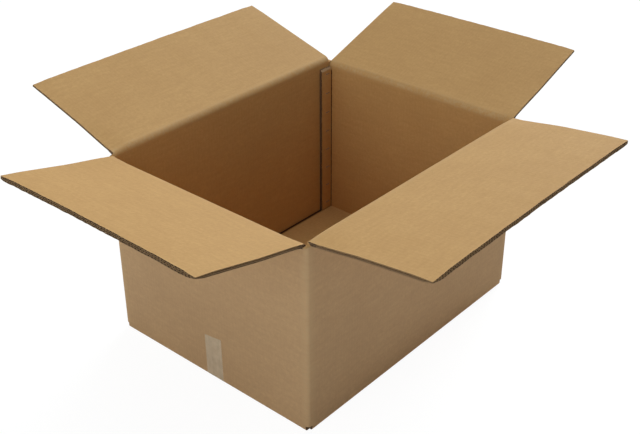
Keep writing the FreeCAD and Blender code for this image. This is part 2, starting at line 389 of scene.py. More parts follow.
def sheet_plan():
    """Plan of the folded sheet, from the back wall's raw end round the box to the tab's edge.

    Straight runs lie along the walls, and at each corner the outer and inner line follow
    quarter circles about their own centres. Returns the two lines, the heights of the
    sheet's top and bottom, and the share of the bulge that each place has.
    """
    sizes = chosen("sizes")
    board = board_thickness()
    outer, inner, tops, lows, bulges = [], [], [], [], []
    for side in SIDES:
        half, distance, axis = wall_facts(side)
        other = sizes.short_axis if axis == sizes.long_axis else sizes.long_axis
        flap = half - sizes.flap_side_gap
        first = -(half + board) if side == "back" else None
        tab_start = half - sizes.lap_gap - sizes.tab_radius
        last = tab_start if side == "right" else None
        along = wall_stations(side, board, first, last)
        clipped = np.clip(along, None if side == "back" else sizes.inner_radius - half,
                          half - sizes.inner_radius)
        clipped = np.maximum(clipped, -(half + board))
        outer.append(on_side(side, along, np.full_like(along, distance + board), 0 * along))
        inner.append(on_side(side, clipped, np.full_like(along, distance), 0 * along))
        own_post = post_top(axis, other)
        tops.append(np.where(np.abs(along) <= flap + SLOT_STEP / 2, axis - STRIP_REACH, own_post))
        solid = flap if side in LONG_SIDES else half + FOOT_OVER
        lows.append(np.where(np.abs(along) <= solid + SLOT_STEP / 2, STRIP_REACH,
                             sizes.notch_height))
        bulges.append(np.clip(1 - (along / flap) ** 2, 0, 1))
        if side == "right":
            break
        turn = np.radians(np.linspace(0, 90, 9))[1:-1]
        out_way, along_way = SIDES[side]
        centre = half + board - sizes.corner_radius
        reach = distance + board - sizes.corner_radius
        outer.append(quarter(centre * along_way + reach * out_way, sizes.corner_radius, side, turn))
        small = (half - sizes.inner_radius) * along_way + (distance - sizes.inner_radius) * out_way
        inner.append(quarter(small, sizes.inner_radius, side, turn))
        next_post = post_top(other, axis)
        share = turn / math.radians(90)
        tops.append(own_post + (next_post - own_post) * share)
        lows.append(np.full_like(turn, sizes.notch_height))
        bulges.append(0 * turn)
    return outer, inner, tops, lows, bulges


def flute_origins():
    """Length along the folded sheet at the middle of each wall."""
    sizes = chosen("sizes")
    board = board_thickness()
    corner = sizes.corner_radius * math.pi / 2
    straight = board - sizes.corner_radius
    start = 0.0
    origins = {}
    for side in SIDES:
        half, _, _ = wall_facts(side)
        lead = board if side == "back" else straight
        origins[side] = start + half + lead
        start += 2 * half + lead + straight + corner
    return origins


def box_wall_sheet():
    """Walls and the tab's fold as one sheet, carried along the plan of the folded box.

    The height at each row is the bottom plus the row's share of the wall's height there,
    and the wall's middle stands out by a bulge that fades to nothing at its four sides.
    """
    sizes = chosen("sizes")
    board = board_thickness()
    outer, inner, tops, lows, bulges = sheet_plan()
    origins = flute_origins()
    lengths = []
    for number, side in enumerate(SIDES):
        _, along_way = SIDES[side]
        line = outer[2 * number] if 2 * number < len(outer) else outer[-1]
        lengths.append(origins[side] + line @ along_way)
        if side != "right":
            reached = lengths[-1][-1]
            lengths.append(reached + np.linspace(0, sizes.corner_radius * math.pi / 2, 9)[1:-1])
    # The joint tab's fold; the flat tab is a sheet of its own
    half, distance, axis = wall_facts("right")
    turn = np.radians(np.linspace(0, 90, 16))[1:]
    centre_x = distance + board - sizes.tab_radius
    centre_y = half - sizes.lap_gap - sizes.tab_radius
    arc = np.stack([centre_x + sizes.tab_radius * np.cos(turn),
                    centre_y + sizes.tab_radius * np.sin(turn), 0 * turn], -1)
    face = half - sizes.lap_gap - sizes.tab_board
    small = TAB_INNER_RADIUS
    creased = small + sizes.tab_crease * np.sin(2 * turn) ** 2
    inner_arc = np.stack([distance - small + creased * np.cos(turn),
                          face - small + creased * np.sin(turn), 0 * turn], -1)
    outer[-1] = outer[-1][outer[-1][:, 1] < centre_y + 1e-9]
    inner[-1] = np.minimum(inner[-1], [np.inf, face - small, np.inf])[:len(outer[-1])]
    kept = len(outer[-1])
    tops[-1], lows[-1], bulges[-1] = tops[-1][:kept], lows[-1][:kept], bulges[-1][:kept]
    lengths[-1] = lengths[-1][:kept]
    outer.append(arc)
    inner.append(inner_arc)
    lengths.append(lengths[-1][-1] + sizes.tab_radius * turn)
    tops.append(axis - STRIP_REACH
                + (STRIP_REACH - TAB_DROP) * smooth_step(turn / math.radians(70)))
    lows.append(np.full_like(turn, STRIP_REACH))
    bulges.append(0 * turn)
    outer, inner = np.concatenate(outer), np.concatenate(inner)
    tops, lows = np.concatenate(tops), np.concatenate(lows)
    bulges, lengths = np.concatenate(bulges), np.concatenate(lengths)

    # the first row ends level with the top of the short bottom flaps
    floor_share = (2 * board - STRIP_REACH) / (sizes.long_axis - 2 * STRIP_REACH)
    share = np.concatenate([[0, floor_share], np.linspace(0, 1, 25)[1:]])
    heights = lows[:, None] + (tops - lows)[:, None] * share
    rise = np.clip((heights - STRIP_REACH) / (sizes.short_axis - 2 * STRIP_REACH), 0, 1)
    bulge = sizes.wall_bulge * bulges[:, None] * 4 * rise * (1 - rise)
    away = outer - inner
    away = away / np.linalg.norm(away, axis=1)[:, None]
    lift = np.zeros(heights.shape + (3,))
    lift[..., 2] = heights
    shift = bulge[..., None] * away[:, None, :]
    near_corner = CORNER_WEAR * (bulges < 0.012)[:, None] * np.ones_like(heights)
    walls = slab(outer[:, None, :] + lift + shift, inner[:, None, :] + lift + shift,
                 sheet_map(lengths[:, None], heights), (OUTER, INNER), wear=near_corner)
    points, faces, _, slots, _ = walls
    x, y, z = points[faces].mean(axis=1).T
    slots[(slots == CUT) & (z > sizes.short_axis - STRIP_REACH + 0.001)] = INNER
    # Painted shade: wall faces inside the tab's crease and in the gap beside the floor get the dark
    # wave paper, which stands in for the shade there
    crease_painted_shade = (np.abs(x - distance - 0.003) < 0.003) & (y > face - small) & (y < half)
    floor_gap_painted_shade = (z < 2 * board) & (np.abs(np.abs(y) - half) < 0.002) & (np.abs(x) < distance)
    slots[crease_painted_shade | floor_gap_painted_shade] = WAVES_AND_SHADE
    return walls


def tab_sheet():
    """Joint tab behind the back wall, a flat sheet with a dent at each stitch.

    A dent is a bell curve at each bent end of the wire and a lower one between them, and
    the tab thins to its top by a smooth step.
    """
    sizes = chosen("sizes")
    fittings = chosen("fittings")
    board = board_thickness()
    half, distance, axis = wall_facts("right")
    start = distance - TAB_INNER_RADIUS
    edge = distance - sizes.tab_width
    low = 2 * board + 0.0012
    top = axis - TAB_DROP
    x, z = np.meshgrid(np.linspace(start, edge, 34), np.linspace(low, top, 230),
                       indexing="ij")
    middle = distance - fittings.stitch_from_corner
    number = np.clip(np.round((z - fittings.lowest_stitch) / fittings.stitch_pitch), 0,
                     fittings.stitch_count - 1)
    rise = z - fittings.lowest_stitch - number * fittings.stitch_pitch
    reach = fittings.stitch_span / 2 - fittings.clinch / 2
    dent = 0.0011 * np.exp(-((np.abs(x - middle) - reach) / 0.0032) ** 2
                           - (rise / 0.0030) ** 2)
    dent += 0.0007 * np.exp(-((x - middle) / 0.006) ** 2 - (rise / 0.0075) ** 2)
    dent += 0.0005 * wander(z * 55 + x * 90, 0.7) * smooth_step((start - x) / 0.006)
    dent += 0.0045 * smooth_step((z - top + 0.005) / 0.005)
    back = half - sizes.lap_gap
    front = back - sizes.tab_board
    flutes = sheet_map(flute_origins()["right"] + half + distance - x, z)
    worn = np.clip(dent / 0.0010, 0, 1) * (z < top - 0.006)
    tab = slab(np.stack([x, np.full_like(x, back), z], -1), np.stack([x, front + dent, z], -1),
               flutes, wear=worn)
    points, faces, _, slots, _ = tab
    slots[points[faces].mean(axis=1)[:, 2] > top - TAB_RIM] = CUT
    return tab


def heel_sheet(side):
    """Bottom fold of a wall, carried along the wall.

    A long wall's sheet turns round a quarter circle and runs on as its bottom flap to the
    seam. A short wall's ends under the wall, round at its outer side.
    """
    sizes = chosen("sizes")
    board = board_thickness()
    half, distance, _ = wall_facts(side)
    turn = np.radians(np.linspace(0, 90, 9))
    face = distance + board
    radius = sizes.heel_radius
    arc_out = face - radius + radius * np.cos(turn)
    arc_up = radius - radius * np.sin(turn)
    small = sizes.inner_radius
    if side in LONG_SIDES:
        reach = half - sizes.flap_side_gap
        run = np.linspace(0, 1, 16)[1:]
        out = np.concatenate([[face], arc_out,
                              face - radius + (sizes.seam_gap - face + radius) * run])
        up = np.concatenate([[STRIP_REACH], arc_up, 0 * run])
        inner_out = np.concatenate([[distance], distance - small + small * np.cos(turn),
                                    distance - small + (sizes.seam_gap - distance + small) * run])
        inner_up = np.concatenate([[STRIP_REACH], board + small - small * np.sin(turn),
                                   np.full_like(run, board)])
    else:
        reach = half + FOOT_OVER
        out = np.concatenate([[face], arc_out, [distance + 0.003]])
        up = np.concatenate([[STRIP_REACH], arc_up, [0.0]])
        inner_out = np.full_like(out, distance)
        inner_up = np.linspace(STRIP_REACH, 0, len(out))
    along = np.linspace(-reach, reach, 41)[:, None] + 0 * out
    steps = np.hypot(np.diff(out), np.diff(up))
    down = STRIP_REACH - np.concatenate([[0], np.cumsum(steps)])
    flutes = sheet_map(flute_origins()[side] + along, down)
    return slab(on_side(side, along, out + 0 * along, up + 0 * along),
                on_side(side, along, inner_out + 0 * along, inner_up + 0 * along), flutes,
                (OUTER, INNER))


def layered_board(place, width, start, end, flute_start):
    """Board with its four liners and three layers of waves, open at its free edge.

    A liner is flat. A layer of waves is a sheet whose height is the layer's middle plus half
    its clear height times the sine of the distance across the flutes; its thickness is
    measured square to the wave. The waves are built over the depth that shows at the free
    edge, and over the full length for the outermost two at each side.
    """
    makeup = chosen("board")
    half = board_thickness() / 2
    liner = makeup.liner

    def sheet(across, along, low, high, paper):
        """Closed sheet between two heights, bent by the place function."""
        w, t = np.meshgrid(across, along, indexing="ij")
        return slab(place(w, t, high), place(w, t, low), sheet_map(flute_start + w, t), paper)

    fine_across = np.linspace(-width / 2, width / 2, 111)
    near_end = end - 0.03
    fine_along = np.concatenate([np.linspace(start, near_end, 28),
                                 np.linspace(near_end, end, 9)[1:]])
    parts = []
    levels = [-half, -half + liner + makeup.outer_flute]
    levels.append(levels[1] + liner + makeup.middle_flute)
    levels.append(half - liner)
    for level in levels:
        low = np.full((len(fine_across), len(fine_along)), level)
        paper = OUTER if level == levels[0] else INNER
        parts.append(sheet(fine_across, fine_along, low, low + liner, paper))
    layers = ((levels[0] + liner, makeup.outer_flute, makeup.outer_pitch, 0.0),
              (levels[1] + liner, makeup.middle_flute, makeup.middle_pitch, math.pi),
              (levels[2] + liner, makeup.outer_flute, makeup.outer_pitch, 0.3))
    deep = end - makeup.open_depth
    for base, height, pitch, phase in layers:
        step = pitch / makeup.wave_steps
        count = int(width / step) + 2
        side = 2 * makeup.wave_steps + 1
        all_across = np.linspace(-width / 2, width / 2, count)
        runs = [(all_across, np.linspace(deep, end, 6)),
                (all_across[:side], np.linspace(start, deep, 12)),
                (all_across[-side:], np.linspace(start, deep, 12))]
        for across, along in runs:
            w = np.broadcast_to(across[:, None], (len(across), len(along)))
            turn = 2 * math.pi * w / pitch + phase
            swing = (height - makeup.wave_paper) / 2
            middle = base + height / 2 + swing * np.sin(turn)
            slope = swing * 2 * math.pi / pitch * np.cos(turn)
            half_paper = makeup.wave_paper / 2 * np.sqrt(1 + slope ** 2)
            parts.append(sheet(across, along, middle - half_paper, middle + half_paper, WAVES_AND_SHADE))
    return parts


def side_crush(side, from_side):
    """Share of the thickness lost near a slotted side, fading exponentially from it."""
    forms = chosen("flaps")
    most = forms.near_crush if side in ("front", "left") else forms.far_crush
    return most * np.exp(-from_side / SIDE_FADE)


def corner_settle(side, w):
    """Shift of two meeting folds towards each other near a corner, as a bell curve.

    The corner of the joint tab, where the back and right walls meet, has none.
    """
    forms = chosen("flaps")
    half, _, _ = wall_facts(side)
    from_side = half - chosen("sizes").flap_side_gap - np.abs(w)
    shift = -forms.long_settle if side in LONG_SIDES else forms.short_settle
    at_tab = w * {"back": -1, "right": 1}.get(side, 0) > 0
    return shift * np.exp(-(from_side / SETTLE_WIDTH) ** 2) * ~at_tab


def flap_place(side):
    """Function that bends and sets a level flap's points where the flap stands at rest.

    The free edge's middle is bowed up by a parabola, two corners droop, and a shallow line
    is pressed beside the fold. The board is thinner, from its under side, by an exponential
    at its slotted sides and its free edge and by a bell curve about its corners. Then the
    flap is raised about its fold axis.
    """
    forms = chosen("flaps")
    sizes = chosen("sizes")
    board = board_thickness()
    half, distance, axis = wall_facts(side)
    outwards, sideways = SIDES[side]
    rise = getattr(forms, side + "_rise")
    bow = getattr(forms, side + "_bow")
    flap = half - sizes.flap_side_gap
    seed = {"front": 1.0, "back": 2.2, "left": 3.1, "right": 4.7}[side]
    near_way = NEAR_WAY[side]
    centre = (distance + board / 2) * outwards + axis * UP
    along_way = math.cos(rise) * outwards + math.sin(rise) * UP
    upwards = -math.sin(rise) * outwards + math.cos(rise) * UP

    def place(w, t, h):
        """World place of the points at w across, t along and h through the board."""
        out = np.clip((t - STRIP_REACH) / (sizes.flap_reach - STRIP_REACH), 0, 1)
        lift = bow * smooth_step(out) * (1 - (w / flap) ** 2)
        lift += 0.0005 * smooth_step(out * 2) * wander(w * 22, seed)
        end = smooth_step((out - 0.82) / 0.18)
        side_share = smooth_step((np.abs(w) / flap - 0.86) / 0.14)
        drop = np.where(w * near_way > 0, forms.corner_droop, 0.0012)
        lift -= drop * end * side_share
        lift -= 0.00035 * np.exp(-((t - forms.crush_line) / 0.0028) ** 2) * (h > 0)
        from_side = flap - np.abs(w)
        from_edge = sizes.flap_reach - t
        lift += corner_settle(side, w) * (1 - smooth_step((t - STRIP_REACH) / SETTLE_DEPTH))
        knocked = 0.5 + 0.5 * wander(w * 61, seed * 3)
        kept = 1 - forms.edge_crush * knocked * np.exp(-from_edge / EDGE_FADE)
        kept = kept * (1 - side_crush(side, from_side))
        tip = np.where(w * near_way > 0, forms.corner_crush, 0.25 * forms.corner_crush)
        kept = kept * (1 - tip * np.exp(-(from_side ** 2 + from_edge ** 2) / TIP_FADE ** 2))
        ragged = 0.0005 * wander(w * 190, seed * 5) * (out > 0.999)
        h_new = board / 2 - (board / 2 - h) * kept + lift
        return (centre + w[..., None] * sideways + (t + ragged)[..., None] * along_way
                + h_new[..., None] * upwards)
    return place


def bezier(start, control, end, count):
    """Points of a quadratic curve from start to end, pulled towards the control point."""
    t = np.linspace(0, 1, count)[:, None]
    return (1 - t) ** 2 * start + 2 * t * (1 - t) * control + t ** 2 * end


def fold_section(side):
    """Section of the scored board at a fold, about the fold axis, as (out, up) points.

    The stretched side goes from the wall's inner face round a circular bend to the flap's
    upper face. The pressed side goes from the wall's outer face through a soft valley to the
    flap's under face. Both have the same number of points.
    """
    forms = chosen("flaps")
    half = board_thickness() / 2
    rise = getattr(forms, side + "_rise")
    along = np.array([math.cos(rise), math.sin(rise)])
    up = np.array([-math.sin(rise), math.cos(rise)])
    radius = forms.near_radius if side in ("front", "left") else forms.far_radius
    corner_t = (half * math.sin(rise) - half) / math.cos(rise)
    corner = half * up + corner_t * along
    tangent = radius * math.tan((math.pi / 2 - rise) / 2)
    first = corner - np.array([0, tangent])
    centre = first + np.array([radius, 0])
    turn = np.linspace(0, math.pi / 2 - rise, 13)
    bend = centre + radius * np.stack([-np.cos(turn), np.sin(turn)], -1)
    foot = np.array([-half, -STRIP_REACH])
    head = half * up + STRIP_REACH * along
    ease = np.linspace(0, 1, 6)[:, None]
    stretched = np.concatenate([foot + (first - foot) * ease[:-1], bend,
                                bend[-1] + (head - bend[-1]) * ease[1:]])
    valley_start = np.array([half, -0.0115])
    valley_end = 0.0115 * along - half * up
    control = np.array([half - 0.0030, -half + 0.0022])
    valley = bezier(valley_start, control, valley_end, 17)
    low_foot = np.array([half, -STRIP_REACH])
    low_head = STRIP_REACH * along - half * up
    ease = np.linspace(0, 1, 4)[:, None]
    pressed = np.concatenate([low_foot + (valley_start - low_foot) * ease[:-1], valley,
                              valley_end + (low_head - valley_end) * ease[1:]])
    return stretched, pressed


def fold_strip(side):
    """Scored strip between a wall and its flap: the fold's section carried along the wall.

    Small waves with lengths of their own wrinkle the stretched side along its bend.
    """
    sizes = chosen("sizes")
    board = board_thickness()
    half, distance, axis = wall_facts(side)
    stretched, pressed = fold_section(side)
    along = np.linspace(sizes.flap_side_gap - half, half - sizes.flap_side_gap, 161)
    depth = np.sin(np.linspace(0, math.pi, len(stretched))) ** 2
    wrinkle = 0.00030 * wander(along * 95, 1.3)[:, None] * depth
    w = along[:, None] + np.zeros(len(stretched))

    def carry(section, wave):
        """The section at every distance along the wall."""
        out = distance + board / 2 + section[:, 0] + wave
        height = axis + section[:, 1] + wave
        return on_side(side, w, np.broadcast_to(out, w.shape), np.broadcast_to(height, w.shape))

    steps = np.linalg.norm(np.diff(stretched, axis=0), axis=1)
    reached = axis - STRIP_REACH + np.concatenate([[0], np.cumsum(steps)])
    wear = np.broadcast_to(np.sin(np.linspace(0, math.pi, len(stretched))) ** 2, w.shape)
    lost = side_crush(side, half - sizes.flap_side_gap - np.abs(along))[:, None]
    lost = lost * np.linspace(0, 1, len(pressed)) ** 2
    upper, lower = carry(stretched, -wrinkle), carry(pressed, 0 * wrinkle)
    lower = lower + lost[..., None] * (upper - lower)
    rise = getattr(chosen("flaps"), side + "_rise")
    settle = corner_settle(side, along)
    settle = settle[:, None, None] * (math.cos(rise) * UP - math.sin(rise) * SIDES[side][0])
    upper = upper + settle * smooth_step(np.linspace(0, 1, len(stretched)))[:, None]
    lower = lower + settle * smooth_step(np.linspace(0, 1, len(pressed)))[:, None]
    strip = slab(upper, lower, sheet_map(flute_origins()[side] + w, reached), (INNER, OUTER),
                 wear=wear)
    points, faces, _, slots, _ = strip
    slots[(slots == CUT) & (points[faces].mean(axis=1)[:, 2] < axis - 0.003)] = INNER
    return strip


def tape_sheet():
    """Tape along the seam: up one short wall, under the box and up the other.

    The outline is two straight runs joined by quarter circles, and it is carried across the
    width. Its ends are cut at a slant, by a height that grows across the width.
    """
    sizes = chosen("sizes")
    fittings = chosen("fittings")
    board = board_thickness()
    face = sizes.inner_length / 2 + board
    radius = sizes.heel_radius
    turn = np.radians(np.linspace(0, 90, 9))
    wall = np.linspace(fittings.tape_rise, radius, 24)
    rise = np.clip((wall - STRIP_REACH) / (sizes.short_axis - 2 * STRIP_REACH), 0, 1)
    bulge = sizes.wall_bulge * 4 * rise * (1 - rise)
    run = np.linspace(0, 1, 31)

    def outline(proud):
        """Half outline at a distance from the board, mirrored for the other wall."""
        x = np.concatenate([-face - proud - bulge, (radius - face) - (radius + proud) * np.sin(
            math.pi / 2 - turn[1:]), (radius - face) * (1 - run[1:16] * 2)])
        z = np.concatenate([wall, radius - (radius + proud) * np.sin(turn[1:]),
                            np.full(15, -proud)])
        x = np.concatenate([x, -x[-2::-1]])
        z = np.concatenate([z, z[-2::-1]])
        return x, z

    y = fittings.tape_shift + np.linspace(-0.5, 0.5, 13) * fittings.tape_width
    grids = []
    for proud in (fittings.tape_film, 0.00002):
        x, z = outline(proud)
        grids.append(np.stack(np.broadcast_arrays(x, y[:, None], z), -1))
    for grid in grids:
        rising = smooth_step((grid[..., 2] - STRIP_REACH) / (fittings.tape_rise - STRIP_REACH))
        grid[..., 2] -= fittings.tape_slant * np.linspace(-0.5, 0.5, 13)[:, None] * rising
    steps = np.linalg.norm(np.diff(grids[0][0], axis=0), axis=1)
    reached = np.concatenate([[0], np.cumsum(steps)])
    return slab(grids[0], grids[1], sheet_map(y[:, None], reached), edge=0)


def stitch_wire(height, lean):
    """Flat wire carried along a stitch: bent end, leg, crown, leg, bent end.

    The path's corners are cut by short chamfers, and the section is a rectangle with cut
    corners, given as the two halves of a closed sheet.
    """
    sizes = chosen("sizes")
    fittings = chosen("fittings")
    board = board_thickness()
    middle = sizes.inner_length / 2 - fittings.stitch_from_corner
    thick = fittings.wire_thickness
    outside = sizes.inner_width / 2 + board + thick / 2
    inside = sizes.inner_width / 2 - sizes.lap_gap - sizes.tab_board - thick / 2
    left = middle - fittings.stitch_span / 2 + thick / 2
    right = middle + fittings.stitch_span / 2 - thick / 2
    cut = 0.0006
    path = np.array([
        (left + fittings.clinch, inside + 0.0003), (left + cut, inside), (left, inside + cut),
        (left, outside - cut), (left + cut, outside), (right - cut, outside),
        (right, outside - cut), (right, inside + cut), (right - cut, inside),
        (right - fittings.clinch, inside + 0.0003)])
    way = np.gradient(path, axis=0)
    way = way / np.linalg.norm(way, axis=1)[:, None]
    square = np.stack([-way[:, 1], way[:, 0]], -1)
    across = fittings.wire_width / 2 * np.array([-1.0, -0.75, 0.75, 1.0])
    through = thick / 2 * np.array([0.4, 1.0, 1.0, 0.4])
    tilt = lean * (path[:, 0] - middle)

    def skin(sign):
        """One half of the wire's surface."""
        flat = path[:, None, :] + sign * through[None, :, None] * square[:, None, :]
        z = height + across[None, :] + tilt[:, None]
        return np.concatenate([flat, z[..., None]], -1)

    along = np.arange(len(path))[:, None] * 0.004
    return slab(skin(1.0), skin(-1.0), sheet_map(along, across), edge=0)


# Materials

def feed(tree, socket, value):
    """Puts another node's output or a plain value into an input."""
    if isinstance(value, bpy.types.NodeSocket):
        tree.links.new(value, socket)
    else:
        socket.default_value = value


def add_node(tree, kind, inputs=None, **settings):
    """New node with its settings and its inputs."""
    node = tree.nodes.new(kind)
    for name, value in settings.items():
        setattr(node, name, value)
    for key, value in (inputs or {}).items():
        feed(tree, node.inputs[key], value)
    return node


def calc(tree, operation, first, second=0.0, third=0.0, clamp=False):
    """Result of one Math node."""
    node = add_node(tree, "ShaderNodeMath", {0: first, 1: second, 2: third},
                    operation=operation, use_clamp=clamp)
    return node.outputs[0]


def remap(tree, value, low, high):
    """Value taken to the range from zero to one between low and high."""
    node = add_node(tree, "ShaderNodeMapRange",
                    {"Value": value, "From Min": low, "From Max": high})
    return node.outputs["Result"]


def tint(tree, amount, first, second):
    """Colour between two colours."""
    node = add_node(tree, "ShaderNodeMix", data_type="RGBA")
    for index, value in ((0, amount), (6, first), (7, second)):
        feed(tree, node.inputs[index], value)
    return node.outputs[2]


def noise(tree, place, scale, detail, roughness=0.5):
    """Noise at a place, in features per metre."""
    return add_node(tree, "ShaderNodeTexNoise", {"Vector": place, "Scale": scale,
                                                 "Detail": detail,
                                                 "Roughness": roughness}).outputs[0]


def stretched(tree, place, factors):
    """Place with its three parts multiplied by the factors."""
    return add_node(tree, "ShaderNodeVectorMath", {0: place, 1: factors},
                    operation="MULTIPLY").outputs[0]


def new_group(name, inputs, outputs):
    """Shader node group with named sockets, and its two end nodes."""
    tree = bpy.data.node_groups.new(name, "ShaderNodeTree")
    kinds = {"vector": "NodeSocketVector", "value": "NodeSocketFloat",
             "colour": "NodeSocketColor"}
    for in_out, sockets in (("INPUT", inputs), ("OUTPUT", outputs)):
        for socket, kind in sockets:
            tree.interface.new_socket(name=socket, in_out=in_out, socket_type=kinds[kind])
    start = tree.nodes.new("NodeGroupInput")
    end = tree.nodes.new("NodeGroupOutput")
    return tree, start.outputs, end.inputs


def paper_group():
    """Brown paper: clouds, grain, streaks, dark flecks, lines of the flutes and rubbed folds."""
    tree, given, result = new_group(
        "board_paper",
        (("Position", "vector"), ("Flutes", "vector"), ("Wear", "value"),
         ("Paper", "colour"), ("Shade", "colour"), ("Scuff", "colour"), ("Fleck", "colour"),
         ("Flute Lines", "value")),
        (("Color", "colour"), ("Roughness", "value"), ("Height", "value")))
    place = given["Position"]
    cloud = remap(tree, noise(tree, place, 7.0, 5.0, 0.62), 0.32, 0.70)
    fibres = noise(tree, place, 620.0, 3.0, 0.7)
    grain = noise(tree, place, 135.0, 4.0, 0.75)
    streaks = noise(tree, stretched(tree, given["Flutes"], (15.0, 110.0, 0.0)), 1.0, 4.0, 0.68)
    across = add_node(tree, "ShaderNodeSeparateXYZ", {0: given["Flutes"]}).outputs[0]
    turn = calc(tree, "MULTIPLY", across, 2 * math.pi / chosen("board").outer_pitch)
    wave = calc(tree, "MULTIPLY_ADD", calc(tree, "SINE", turn), 0.5, 0.5)
    lines = calc(tree, "MULTIPLY", calc(tree, "MULTIPLY", wave, cloud), given["Flute Lines"])
    fibre = remap(tree, fibres, 0.25, 0.75)
    grit = remap(tree, grain, 0.28, 0.72)
    streak = remap(tree, streaks, 0.30, 0.70)
    rubbed = calc(tree, "MULTIPLY", given["Wear"], remap(tree, grain, 0.40, 0.66))
    base = given["Paper"]
    for mask, strength, towards in (
            (cloud, 0.26, "Shade"), (grit, 0.60, "Shade"), (streak, 0.40, "Shade"),
            (lines, 0.20, "Shade"), (remap(tree, fibres, 0.66, 0.74), 0.28, "Fleck"),
            (rubbed, 0.60, "Scuff")):
        base = tint(tree, calc(tree, "MULTIPLY", mask, strength), base, given[towards])
    tree.links.new(base, result["Color"])
    tree.links.new(calc(tree, "MULTIPLY_ADD", fibre, 0.14, 0.72), result["Roughness"])
    height = calc(tree, "MULTIPLY", lines, 0.22)
    for mask, strength in ((fibre, 0.16), (streak, 0.20), (grit, 0.14)):
        height = calc(tree, "ADD", height, calc(tree, "MULTIPLY", mask, strength))
    tree.links.new(height, result["Height"])
    return tree


def cut_group():
    """Raw cut through the board: four pale liners with painted shade for the hollows between them,
    and dust.

    The ramp switches between them at the heights of the liners in the board's thickness.
    """
    tree, given, result = new_group(
        "board_cut",
        (("Position", "vector"), ("Across", "vector"), ("Liner", "colour"),
         ("Hollow", "colour"), ("Board", "value")),
        (("Color", "colour"), ("Height", "value")))
    across = add_node(tree, "ShaderNodeSeparateXYZ", {0: given["Across"]})
    ramp = add_node(tree, "ShaderNodeValToRGB",
                    {0: calc(tree, "DIVIDE", across.outputs[1], given["Board"])})
    ramp.color_ramp.interpolation = "CONSTANT"
    # Level 1 is a liner's raw edge, level 0 the painted shade of a hollow
    stops = ((0.0, 1), (0.045, 0), (0.319, 1), (0.367, 0), (0.633, 1), (0.681, 0), (0.955, 1))
    while len(ramp.color_ramp.elements) < len(stops):
        ramp.color_ramp.elements.new(1.0)
    for element, (position, level) in zip(ramp.color_ramp.elements, stops):
        element.position = position
        element.color = (level, level, level, 1.0)
    dust = remap(tree, noise(tree, given["Position"], 420.0, 3.0), 0.3, 0.7)
    mask = calc(tree, "MULTIPLY", ramp.outputs[0], calc(tree, "MULTIPLY_ADD", dust, 0.5, 0.5))
    mask = calc(tree, "ADD", mask, calc(tree, "MULTIPLY", dust, 0.18), clamp=True)
    tree.links.new(tint(tree, mask, given["Hollow"], given["Liner"]), result["Color"])
    tree.links.new(mask, result["Height"])
    return tree


def surface(name, roughness=0.8, metallic=0.0, specular=0.28):
    """New material with its shader, its node tree and the two coordinates it reads."""
    material = bpy.data.materials.new(name)
    material.use_nodes = True
    tree = material.node_tree
    shader = tree.nodes["Principled BSDF"]
    shader.inputs["Roughness"].default_value = roughness
    shader.inputs["Metallic"].default_value = metallic
    shader.inputs["Specular IOR Level"].default_value = specular
    place = tree.nodes.new("ShaderNodeTexCoord").outputs["Object"]
    flutes = add_node(tree, "ShaderNodeUVMap", uv_map="flutes").outputs[0]
    return tree, shader, place, flutes


def raise_surface(tree, shader, height, distance, strength):
    """Bump on the shader's normal, with its height in metres."""
    bump = add_node(tree, "ShaderNodeBump", {"Height": height, "Distance": distance,
                                             "Strength": strength})
    tree.links.new(bump.outputs[0], shader.inputs["Normal"])


def full(shade, level=1.0):
    """Colour at a level of brightness, with its fourth number."""
    return (*(level * value for value in shade), 1.0)


def paper_material(name, group, paper, shade, flute_lines, bump):
    """Paper of the board with its own colours, line strength and relief."""
    colours = chosen("colours")
    tree, shader, place, flutes = surface(name)
    wear = add_node(tree, "ShaderNodeAttribute", attribute_name="wear").outputs["Fac"]
    paper_node = add_node(tree, "ShaderNodeGroup", node_tree=group)
    for key, value in (("Paper", paper), ("Shade", shade), ("Flute Lines", flute_lines),
                       ("Scuff", full(colours.paper_scuff)), ("Fleck", full(colours.fleck)),
                       ("Position", place), ("Flutes", flutes), ("Wear", wear)):
        feed(tree, paper_node.inputs[key], value)
    tree.links.new(paper_node.outputs["Color"], shader.inputs["Base Color"])
    tree.links.new(paper_node.outputs["Roughness"], shader.inputs["Roughness"])
    raise_surface(tree, shader, paper_node.outputs["Height"], bump, 0.6)


def cut_material(group):
    """Raw edge of the board."""
    colours = chosen("colours")
    tree, shader, place, flutes = surface("cut_edge", roughness=0.9, specular=0.2)
    cut = add_node(tree, "ShaderNodeGroup", node_tree=group)
    for key, value in (("Liner", full(colours.cut)), ("Hollow", full(colours.cut_hollow_shade)),
                       ("Board", board_thickness()), ("Position", place), ("Across", flutes)):
        feed(tree, cut.inputs[key], value)
    tree.links.new(cut.outputs["Color"], shader.inputs["Base Color"])
    raise_surface(tree, shader, cut.outputs["Height"], 0.0004, 0.5)


def tape_material():
    """Clear packing tape with faint lengthwise streaks, lighter where it has let go."""
    tape = chosen("colours").tape
    tree, shader, place, flutes = surface("clear_tape", roughness=0.45, specular=0.25)
    streaks = noise(tree, stretched(tree, flutes, (420.0, 6.0, 0.0)), 1.0, 2.0)
    patches = noise(tree, place, 55.0, 3.0)
    loose = calc(tree, "MULTIPLY", remap(tree, streaks, 0.2, 0.8), 0.4)
    loose = calc(tree, "ADD", loose, calc(
        tree, "MULTIPLY", remap(tree, patches, 0.25, 0.75), 0.6), clamp=True)
    tree.links.new(tint(tree, loose, full(tape, 0.92), full(tape)), shader.inputs["Base Color"])
    tree.links.new(calc(tree, "MULTIPLY_ADD", loose, 0.22, 0.42), shader.inputs["Alpha"])
    raise_surface(tree, shader, loose, 0.0001, 0.3)


